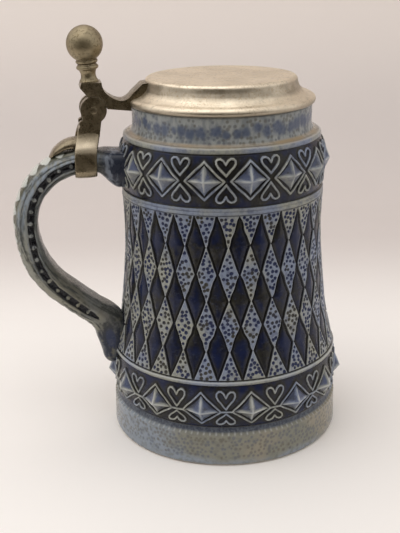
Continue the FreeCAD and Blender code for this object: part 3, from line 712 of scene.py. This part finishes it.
# Height of the leaf's top, and where along it from 0 at the strap to 1 at its tip.
LEAF_TOP = [(134.9, 0.0), (134.75, 0.2), (134.3, 0.42), (133.1, 0.62), (130.9, 0.82), (127.9, 1.0)]
LEAF_ROWS = 60
LEAF_AROUND = 36


def build_leaf():
    """The pewter leaf that runs from the strap down the back of the handle to a thin rounded tip."""
    t = np.linspace(0, 1, LEAF_ROWS)
    x = np.interp(t, (0, 0.2, 0.42, 0.62, 0.82, 1), (-60.0, -62.6, -65.6, -68.4, -71.4, -74.0))
    top = smooth_through(LEAF_TOP, t)
    thick = np.interp(t, (0, 0.35, 0.75, 1), (5.0, 4.6, 3.4, 1.9))
    tip = blunt_end(t, 1, 0.14, 0.995)
    half = np.interp(t, (0, 0.3, 0.7, 1), (5.4, 5.6, 5.2, 4.0)) * tip
    across, up = section(LEAF_AROUND, 0.7, 0.8)
    tip = np.maximum(tip, 0.25)[:, None]
    y = half[:, None] * across
    z = top[:, None] - thick[:, None] / 2 + thick[:, None] / 2 * up * tip - 0.5 * across**2
    points = np.stack([x[:, None] + 0 * y, y, z], -1)
    # Painted highlight along the middle of the leaf's top, put in the worn mask.
    painted_highlight = 0.6 * hill(across, 0, 0.45) * (up > 0) * ease(t, 0.2, 0.5)[:, None]
    leaf = grid_mesh("leaf", points, {"worn": painted_highlight})
    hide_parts("hinge_tang")
    return leaf


def softened(name, width, drop=0.0):
    """A copy of a CAD node with its cast edges rounded over and its lid end let down by a drop in mm.

    The rounded edges take the piece's second material."""
    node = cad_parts[name]
    mesh = node.data.copy()
    work = bmesh.new()
    work.from_mesh(mesh)
    bmesh.ops.remove_doubles(work, verts=work.verts, dist=0.001 * MM)
    bmesh.ops.dissolve_limit(work, angle_limit=math.radians(1), verts=work.verts, edges=work.edges)
    for vertex in work.verts:
        vertex.co.z -= drop * MM * float(ease(vertex.co.x / MM, -48, -41))
    work.to_mesh(mesh)
    work.free()
    piece = placed(name + ".cast", mesh)
    bevel = piece.modifiers.new("edges", "BEVEL")
    bevel.width = width * MM
    bevel.segments = 4
    bevel.limit_method = "ANGLE"
    bevel.angle_limit = math.radians(28)
    bevel.harden_normals = True
    bevel.material = 1
    mesh.shade_smooth()
    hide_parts(name)
    return piece


# ---- materials
class Nodes:
    """Short ways to add nodes to a tree."""

    def __init__(self, tree):
        self.tree = tree

    def link(self, source, target):
        self.tree.links.new(source, target)

    def add(self, kind, inputs=None, **settings):
        """A new node. Each input takes a link from a socket, a number, or a tuple."""
        node = self.tree.nodes.new("ShaderNode" + kind)
        for key, value in settings.items():
            setattr(node, key, value)
        for key, value in (inputs or {}).items():
            socket = node.inputs[key]
            if isinstance(value, bpy.types.NodeSocket):
                self.link(value, socket)
            elif socket.type == "RGBA":
                socket.default_value = (*value, 1)
            else:
                socket.default_value = value
        return node

    def between(self, value, low, high, out_low=0.0, out_high=1.0):
        """A smooth step of the value from low to high, as a number from out_low to out_high."""
        inputs = {"Value": value, "From Min": low, "From Max": high, "To Min": out_low, "To Max": out_high}
        return self.add("MapRange", inputs, interpolation_type="SMOOTHSTEP").outputs["Result"]

    def math(self, kind, a, b):
        return self.add("Math", {0: a, 1: b}, operation=kind).outputs[0]

    def times(self, a, b):
        return self.math("MULTIPLY", a, b)

    def plus(self, a, b):
        return self.math("ADD", a, b)

    def swing(self, value, amount):
        """How far a noise value is from its middle, times an amount."""
        return self.times(self.math("SUBTRACT", value, 0.5), amount)

    def mix(self, factor, a, b):
        """The colour from a to b."""
        return self.add("Mix", {0: factor, 6: a, 7: b}, data_type="RGBA").outputs[2]


class Surface(Nodes):
    """A new material, with places on its object in mm."""

    def __init__(self, name):
        self.material = bpy.data.materials.new(name)
        self.material.use_nodes = True
        super().__init__(self.material.node_tree)
        self.shader = self.tree.nodes["Principled BSDF"]
        place = self.add("TexCoord").outputs["Object"]
        self.mm = self.add("Mapping", {"Vector": place, "Scale": (1 / MM,) * 3}).outputs[0]

    def stretched(self, scale):
        """The place, scaled along x, y and z, for streaky noise."""
        return self.add("Mapping", {"Vector": self.mm, "Scale": scale}).outputs[0]

    def noise(self, scale, detail=3.0, roughness=0.55, vector=None):
        inputs = {"Vector": vector or self.mm, "Scale": scale, "Detail": detail, "Roughness": roughness}
        return self.add("TexNoise", inputs).outputs["Fac"]

    def mask(self, name, share=1):
        mask = self.add("Attribute", attribute_name=name).outputs["Fac"]
        return mask if share == 1 else self.times(mask, share)

    def creases(self, reach):
        """1 in the open and 0 deep in a crease, felt out to a reach in mm."""
        inputs = {"Distance": reach * MM}
        return self.add("AmbientOcclusion", inputs, samples=6, only_local=True).outputs["AO"]

    def bump(self, height, strength, distance):
        node = self.add("Bump", {"Height": height, "Strength": strength, "Distance": distance * MM})
        self.link(node.outputs[0], self.shader.inputs["Normal"])

    def finish(self, colour, roughness, **constants):
        self.link(colour, self.shader.inputs["Base Color"])
        self.link(roughness, self.shader.inputs["Roughness"])
        for key, value in constants.items():
            self.shader.inputs[key.replace("_", " ")].default_value = value
        return self.material


# Colours of the mug's pattern.
NAVY = (0.006, 0.01, 0.036)
DEEP_BLUE = (0.011, 0.017, 0.055)
INK = (0.004, 0.004, 0.007)
OLIVE_DARK = (0.027, 0.025, 0.016)
MIST = (0.04, 0.05, 0.085)
BLUE_GREY = (0.235, 0.275, 0.37)
GREEN_GREY = (0.33, 0.335, 0.29)
PALE_CLOUD = (0.1, 0.12, 0.19)
PALE_PATCH = (0.05, 0.06, 0.13)
# Painted highlight on the tops of the relief lines, stud ridges, diamond rims, rings and scallops.
CREST_HIGHLIGHT = (0.56, 0.575, 0.57)
STUD_BLUE = (0.085, 0.105, 0.185)
STUD_FLECK = (0.03, 0.038, 0.08)
COBALT = (0.014, 0.022, 0.075)
OLIVE_PIT = (0.045, 0.042, 0.034)
# Colours of the mug's foot, neck and inside.
SALT_GREY = (0.238, 0.236, 0.195)
SALT_BLUE = (0.262, 0.3, 0.35)
SALT_MOTTLE = (0.165, 0.166, 0.15)
SALT_BLUSH = (0.33, 0.29, 0.22)
LEDGE_DARK = (0.05, 0.058, 0.085)
LEDGE_PALE = (0.12, 0.135, 0.16)
SALT_PALE = (0.35, 0.368, 0.365)
NECK_STREAK = (0.235, 0.255, 0.265)
SPECK_BLUE = (0.105, 0.12, 0.16)
SPECK_BROWN = (0.12, 0.108, 0.088)
NECK_BLOT = (0.085, 0.11, 0.185)
TAN = (0.36, 0.27, 0.16)
CLAY = (0.43, 0.4, 0.34)
CLAY_DARK = (0.34, 0.32, 0.28)
# Colours of the handle.
HANDLE_GREY = (0.25, 0.258, 0.245)
HANDLE_OLIVE = (0.235, 0.225, 0.175)
HANDLE_OUTER = (0.33, 0.325, 0.27)
HANDLE_INNER = (0.06, 0.06, 0.055)
HANDLE_STREAK = (0.05, 0.053, 0.048)
# Painted highlight high on the handle's sides.
HANDLE_SHOULDER_HIGHLIGHT = (0.3, 0.345, 0.4)
HANDLE_LINE = (0.03, 0.032, 0.03)
LOZENGE_WHITE = (0.56, 0.58, 0.54)
GAP_OLIVE = (0.06, 0.058, 0.026)
GAP_GREY = (0.05, 0.052, 0.036)
ROOT_DARK = (0.03, 0.036, 0.056)
ROOT_PALE = (0.19, 0.215, 0.265)
TAIL_PALE = (0.1, 0.11, 0.12)
TAIL_DARK = (0.028, 0.034, 0.055)
TAIL_OLIVE = (0.15, 0.145, 0.115)
TAIL_OVAL = (0.04, 0.055, 0.12)
GROOVE_GREY = (0.03, 0.033, 0.038)
# Colours on the pewter.
# Painted highlight on the strap's sloping top and the leaf's top.
PEWTER_HIGHLIGHT = (0.66, 0.57, 0.44)
# Dirt and painted shade in the creases.
PEWTER_GRIME_AND_SHADE = (0.055, 0.036, 0.018)
PEWTER_BROWN_SHARES = (0.42, 0.32, 0.2)


def pattern_colour(n, fine, grain):
    """The blue and black ground, the pale diamonds with their pits, and the studs, lines and rings, with
    painted shade on the upper stud facets and painted highlights on the tops.
    """
    dark = n.mix(n.between(n.noise(0.13, 3), 0.44, 0.62), NAVY, OLIVE_DARK)
    dark = n.mix(n.between(fine, 0.35, 0.7, 0, 0.6), dark, INK)
    off_pool = n.math("SUBTRACT", 1.0, n.mask("pool"))
    olive = n.times(off_pool, n.between(n.noise(0.2, 4), 0.4, 0.6, 0.35, 1.0))
    dark = n.mix(olive, dark, OLIVE_DARK)
    blue = n.times(n.mask("pool"), n.between(n.noise(0.09, 3), 0.40, 0.60, 1.0, 0.12))
    dark = n.mix(blue, dark, DEEP_BLUE)
    dark = n.mix(n.between(n.noise(0.55, 5, 0.65), 0.54, 0.74, 0, 0.55), dark, MIST)
    pale = n.mix(n.between(n.noise(0.045, 2), 0.38, 0.62), BLUE_GREY, GREEN_GREY)
    pale = n.mix(n.between(fine, 0.40, 0.72, 0, 0.4), pale, PALE_CLOUD)
    pale = n.mix(n.between(n.noise(0.35, 3), 0.50, 0.72, 0, 0.5), pale, PALE_PATCH)
    pit = n.mix(n.between(n.noise(0.12, 2), 0.45, 0.6), COBALT, OLIVE_PIT)
    pit_edge = n.plus(n.mask("pit"), n.times(grain, 0.7))
    pale = n.mix(n.between(pit_edge, 0.04, 0.40, 0, 0.97), pale, pit)
    colour = n.mix(n.between(n.plus(n.mask("pale"), grain), 0.25, 0.80), dark, pale)
    # Blue glaze pooled on the stud facets, heavier on the upper facets as painted shade.
    tint = n.times(n.mask("tint"), n.between(n.noise(0.3, 4), 0.36, 0.62, 0.25, 0.92))
    colour = n.mix(tint, colour, STUD_BLUE)
    fleck = n.times(n.mask("tint"), n.between(n.noise(0.9, 4, 0.7), 0.52, 0.66, 0, 0.75))
    colour = n.mix(fleck, colour, STUD_FLECK)
    # Painted highlight on the tops of the relief.
    crest_highlight = n.plus(n.mask("crest_highlight"), grain)
    colour = n.mix(n.between(crest_highlight, 0.35, 1.0, 0, 0.68), colour, CREST_HIGHLIGHT)
    return n.mix(n.mask("hollow", 0.72), colour, INK)


def salt_colour(n, fine, grain):
    """The grey and blue salt glaze of the foot and the neck, with its specks and blots, and a painted
    highlight on the scallops and the upper ring's top.
    """
    cool = n.plus(n.mask("cool"), n.math("SUBTRACT", n.noise(0.06, 3), 0.5))
    foot = n.mix(n.between(cool, 0.25, 0.80), SALT_GREY, SALT_BLUE)
    mottle = n.noise(0.42, 3, vector=n.stretched((1, 1, 1.3)))
    foot = n.mix(n.between(mottle, 0.42, 0.68, 0, 0.55), foot, SALT_MOTTLE)
    foot = n.mix(n.between(n.noise(0.035, 3), 0.50, 0.66, 0, 0.6), foot, SALT_BLUSH)
    foot = n.mix(n.mask("ledge"), foot, n.mix(n.between(fine, 0.3, 0.7), LEDGE_DARK, LEDGE_PALE))
    streak = n.noise(0.35, 3, vector=n.stretched((1, 1, 0.4)))
    neck = n.mix(n.between(streak, 0.40, 0.62), SALT_PALE, NECK_STREAK)
    salt = n.mix(n.mask("neck"), foot, neck)
    speck_colour = n.mix(n.between(n.noise(0.10, 2), 0.42, 0.58), SPECK_BLUE, SPECK_BROWN)
    speck = n.plus(n.mask("speck"), grain)
    salt = n.mix(n.between(speck, 0.05, 0.95, 0, 0.60), salt, speck_colour)
    blot = n.plus(n.mask("cobalt"), n.swing(n.noise(0.45, 2), 0.9))
    salt = n.mix(n.between(blot, 0.0, 1.05, 0, 0.84), salt, NECK_BLOT)
    # Painted highlight on the scallops and the upper ring's top.
    return n.mix(n.mask("crest_highlight", 0.6), salt, CREST_HIGHLIGHT)


def mug_material():
    n = Surface("glazed_stoneware")
    fine = n.noise(0.9, 4)
    grain = n.swing(fine, 0.5)
    zone = n.math("MAXIMUM", n.mask("foot"), n.mask("neck"))
    colour = n.mix(zone, pattern_colour(n, fine, grain), salt_colour(n, fine, grain))
    tan = n.times(n.mask("warm"), n.between(n.noise(0.08, 2), 0.3, 0.7, 0.45, 1.0))
    colour = n.mix(tan, colour, TAN)
    colour = n.mix(n.mask("inside"), colour, n.mix(fine, CLAY, CLAY_DARK))
    peel = n.plus(n.noise(0.9, 3), n.times(n.noise(3.2, 2), 0.35))
    n.bump(peel, 0.28, 0.24)
    roughness = n.between(n.noise(0.35, 3), 0.35, 0.7, 0.10, 0.28)
    return n.finish(colour, roughness, Specular_IOR_Level=0.25)


def handle_material():
    n = Surface("glazed_handle")
    broad = n.between(n.noise(0.06, 2), 0.38, 0.62)
    fine = n.noise(0.8, 4)
    streak = n.plus(n.mask("streak"), n.swing(fine, 1.0))
    ground = n.mix(broad, HANDLE_GREY, HANDLE_OLIVE)
    ground = n.mix(n.mask("outer", 0.6), ground, HANDLE_OUTER)
    ground = n.mix(n.mask("inner", 0.55), ground, HANDLE_INNER)
    ground = n.mix(n.between(streak, 0.38, 0.90, 0, 0.9), ground, HANDLE_STREAK)
    colour = n.mix(n.mask("back", 0.93), ground, n.mix(broad, GAP_OLIVE, GAP_GREY))
    # A streaky painted highlight high on the handle's sides.
    streaks = n.between(n.noise(0.5, 3, vector=n.stretched((1.6, 1.0, 0.35))), 0.40, 0.62, 0.15, 1.0)
    colour = n.mix(n.times(n.mask("shoulder_highlight"), streaks), colour, HANDLE_SHOULDER_HIGHLIGHT)
    pale = n.mix(n.mask("back"), n.mix(broad, BLUE_GREY, GREEN_GREY), LOZENGE_WHITE)
    edge = n.plus(n.mask("pale"), n.swing(fine, 0.7))
    colour = n.mix(n.between(edge, 0.25, 0.75), colour, pale)
    root = n.between(n.noise(0.28, 3, vector=n.stretched((1, 1, 0.45))), 0.48, 0.64)
    colour = n.mix(n.mask("root"), colour, n.mix(root, ROOT_DARK, ROOT_PALE))
    tail = n.mix(n.between(streak, 0.25, 0.75), TAIL_PALE, TAIL_DARK)
    tail = n.mix(n.between(n.noise(0.22, 3), 0.52, 0.66), tail, TAIL_OLIVE)
    colour = n.mix(n.mask("tail"), colour, tail)
    oval = n.plus(n.mask("oval"), n.swing(fine, 0.5))
    colour = n.mix(n.between(oval, 0.25, 0.9, 0, 0.75), colour, TAIL_OVAL)
    line = n.times(n.mask("line"), n.between(n.noise(0.3, 3), 0.35, 0.6, 0.35, 0.85))
    colour = n.mix(line, colour, HANDLE_LINE)
    groove = n.mix(n.between(fine, 0.45, 0.68), INK, GROOVE_GREY)
    colour = n.mix(n.between(n.mask("groove"), 0.10, 0.60), colour, groove)
    n.bump(n.noise(0.9, 3), 0.22, 0.3)
    roughness = n.between(n.noise(0.35, 3), 0.35, 0.7, 0.14, 0.34)
    return n.finish(colour, roughness, Specular_IOR_Level=0.28)


def shaded(colour, share):
    """A colour times a share, or times one share for each of its red, green and blue."""
    return tuple(float(value) for value in np.multiply(share, colour))


def pewter_material(name, base, worn, roughness, tarnished, grime_and_shade=0.0):
    """Dull cast or turned pewter: tarnish in clouds, brown stains, dirt and painted shade in its creases,
    painted shade under the lid's rim, and a painted highlight where the worn mask is set.
    """
    n = Surface(name)
    colour = n.mix(n.between(n.noise(0.08, 4), 0.35, 0.65), base, worn)
    tarnish = n.between(n.noise(0.55, 6, 0.68), 0.48, 0.72, 0.0, tarnished)
    colour = n.mix(tarnish, colour, shaded(worn, 0.42))
    cove = n.times(n.mask("cove"), n.between(n.noise(0.2, 4), 0.3, 0.7, 0.65, 1.0))
    colour = n.mix(cove, colour, shaded(worn, 0.52))
    brown = n.between(n.noise(1.1, 5, 0.7), 0.48, 0.70, 0.0, 1.3 * tarnished)
    patch = n.math("MAXIMUM", n.between(n.noise(0.07, 3), 0.42, 0.62, 0.15, 1.0), n.mask("cove"))
    colour = n.mix(n.times(brown, patch), colour, shaded(worn, PEWTER_BROWN_SHARES))
    # Dirt and painted shade in the creases, found by ambient occlusion.
    if grime_and_shade:
        creased = n.between(n.creases(2.2), 0.45, 0.92, grime_and_shade, 0.0)
        colour = n.mix(creased, colour, PEWTER_GRIME_AND_SHADE)
    # Painted shade on the underside of the lid's rim.
    colour = n.mix(n.mask("under", 0.8), colour, shaded(worn, 0.34))
    # Painted highlight where the worn mask is set: the strap's sloping top and the leaf's top.
    colour = n.mix(n.mask("worn", 0.5), colour, PEWTER_HIGHLIGHT)
    scratches = n.noise(0.9, 4, vector=n.stretched((0.35, 3.5, 3.5)))
    n.bump(n.plus(n.noise(1.4, 4), n.times(scratches, 0.5)), 0.35, 0.12)
    rough = n.between(n.noise(0.3, 4), 0.3, 0.7, roughness - 0.07, roughness + 0.09)
    return n.finish(colour, rough, Metallic=0.92, Specular_IOR_Level=0.4)


# ---- put the pieces together
mug = build_mug()
handle = build_handle()
for piece, material in ((mug, mug_material()), (handle, handle_material())):
    piece.data.materials.append(material)
    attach(piece, "stein")

pewter = pewter_material("pewter", (0.86, 0.755, 0.60), (0.74, 0.645, 0.505), 0.40, 0.42)
cast = pewter_material("pewter_cast", (0.31, 0.258, 0.180), (0.220, 0.182, 0.122), 0.30, 0.5, 0.7)
# Lighter pewter on the rounded cast edges: edge wear and a painted highlight.
edge_wear_and_highlight = pewter_material("pewter_edge_wear_and_highlight", (0.46, 0.385, 0.275), (0.33, 0.275, 0.19), 0.34, 0.4)
knob = pewter_material("pewter_knob", (0.37, 0.31, 0.205), (0.275, 0.228, 0.145), 0.43, 0.8, 0.85)
steel = pewter_material("pin_steel", (0.20, 0.18, 0.15), (0.15, 0.13, 0.11), 0.34, 0.4)
looks = {"lid_shell": pewter, "lid_flange": pewter, "thumblift": knob, "hinge_pin": steel}
for name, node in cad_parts.items():
    if not name.startswith("stoneware"):
        node.data.materials.clear()
        node.data.materials.append(looks.get(name, cast))
pewter_pieces = [
    (build_strap(), "stein", cast),
    (build_leaf(), "stein", cast),
    (softened("hinge_block", 0.5), "stein", cast),
    (softened("lid_arm", 0.9, drop=1.2), "lid", cast),
    (build_lid(), "lid", pewter),
]
for piece, body, material in pewter_pieces:
    piece.data.materials.clear()
    piece.data.materials.append(material)
    # The rounded edges take the lighter edge pewter: edge wear and a painted highlight.
    if piece.modifiers:
        piece.data.materials.append(edge_wear_and_highlight)
    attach(piece, body)


# ---- floor, light and camera
# The camera's distance from the stein's axis and its height in mm, and its turns in degrees.
CAMERA_DISTANCE = 404.5
CAMERA_HEIGHT = 214.8
CAMERA_TURN = 11.0
CAMERA_PITCH = 19.40
CAMERA_YAW = 1.47
CAMERA_ROLL = -1.03
CAMERA_LENS = 64.17
# The way to the room's dark side, and the colours of its pale and its dark side.
ROOM_FRONT = (-0.17, -0.86, -0.48)
ROOM_PALE = (0.93, 0.905, 0.88)
ROOM_DARK = (0.075, 0.062, 0.04)
# The paper's own tones, then painted light on it: lighter high up the back and on the floor in front.
PAPER_WARM = (0.665, 0.61, 0.59)
PAPER_DULL = (0.645, 0.59, 0.57)
PAPER_PAINTED_LIGHT_HIGH = (0.9, 0.825, 0.78)
PAPER_PAINTED_LIGHT_NEAR = (0.95, 0.915, 0.89)


def turned(degrees, axis):
    return Matrix.Rotation(math.radians(degrees), 4, axis)


def backdrop():
    """A pale sheet that lies under the stein and curves up behind it, with painted light: lighter high up
    the back and on the floor in front of and under the stein.
    """
    depth_front, depth_back, half_width, bend, height = 240, 620, 1500, 260, 1400
    profile = [(y, 0.0) for y in range(-depth_front, depth_back - bend, 30)]
    steps = 24
    for i in range(steps + 1):
        turn = math.radians(90 * i / steps)
        profile.append((depth_back - bend + bend * math.sin(turn), bend - bend * math.cos(turn)))
    profile += [(depth_back, z) for z in range(320, height, 120)]
    facing = turned(-CAMERA_TURN, "Z")
    corners = [facing @ Vector((x, y, z)) * MM for y, z in profile for x in (-half_width, half_width)]
    faces = [(2 * i, 2 * i + 1, 2 * i + 3, 2 * i + 2) for i in range(len(profile) - 1)]
    mesh = bpy.data.meshes.new("backdrop")
    mesh.from_pydata(corners, [], faces)
    mesh.polygons.foreach_set("use_smooth", [True] * len(faces))
    # Masks for the painted light on the paper: on the floor in front of and under the stein, and high up
    # the back.
    masks = {"near": [float(ease(y, 285, 70)) for y, _ in profile],
             "high": [float(ease(z, 25, 170)) for _, z in profile]}
    for key, values in masks.items():
        add_mask(mesh, key, np.repeat(values, 2))
    piece = placed("backdrop", mesh)
    n = Surface("pale_paper")
    paper = n.mix(n.noise(0.01, 3), PAPER_WARM, PAPER_DULL)
    # Painted light: lighter high up the back and on the floor in front.
    paper = n.mix(n.mask("high"), paper, PAPER_PAINTED_LIGHT_HIGH)
    paper = n.mix(n.mask("near"), paper, PAPER_PAINTED_LIGHT_NEAR)
    n.bump(n.noise(0.4, 3), 0.05, 0.2)
    piece.data.materials.append(n.finish(paper, n.between(n.noise(0.02, 2), 0, 1, 0.75, 0.9)))


def area_light(name, place, target, size, watts, colour):
    """A soft rectangular light at a place in mm, turned to a target and unseen by the camera."""
    light = bpy.data.lights.new(name, "AREA")
    light.shape = "RECTANGLE"
    light.size, light.size_y = size[0] * MM, size[1] * MM
    light.energy = watts
    light.color = colour
    lamp = placed(name, light)
    lamp.location = Vector(place) * MM
    lamp.visible_camera = False
    lamp.rotation_euler = (Vector(target) - Vector(place)).to_track_quat("-Z", "Y").to_euler()


def room_light():
    """A pale room round the stein that is bright overhead, behind and to the sides, and dark in front."""
    world = bpy.data.worlds.new("room")
    world.use_nodes = True
    n = Nodes(world.node_tree)
    direction = n.add("TexCoord").outputs["Generated"]
    front = n.add("VectorMath", {0: direction, 1: ROOM_FRONT}, operation="DOT_PRODUCT").outputs["Value"]
    colour = n.mix(n.between(front, 0.15, 0.80), ROOM_PALE, ROOM_DARK)
    n.link(colour, world.node_tree.nodes["Background"].inputs["Color"])
    bpy.context.scene.world = world


def place_camera():
    place = Matrix.Translation(Vector((0, -CAMERA_DISTANCE, CAMERA_HEIGHT)) * MM)
    aim = turned(CAMERA_YAW, "Z") @ turned(90 - CAMERA_PITCH, "X") @ turned(CAMERA_ROLL, "Z")
    camera = placed("camera", bpy.data.cameras.new("camera"))
    camera.data.lens = CAMERA_LENS
    camera.data.clip_start = 0.01
    camera.matrix_world = turned(-CAMERA_TURN, "Z") @ place @ aim
    bpy.context.scene.camera = camera


backdrop()
area_light("overhead", (-330, 60, 900), (30, 0, 40), (1300, 1200), 4.0, (1.0, 0.985, 0.965))
room_light()
bpy.context.scene.view_settings.view_transform = "Standard"
place_camera()
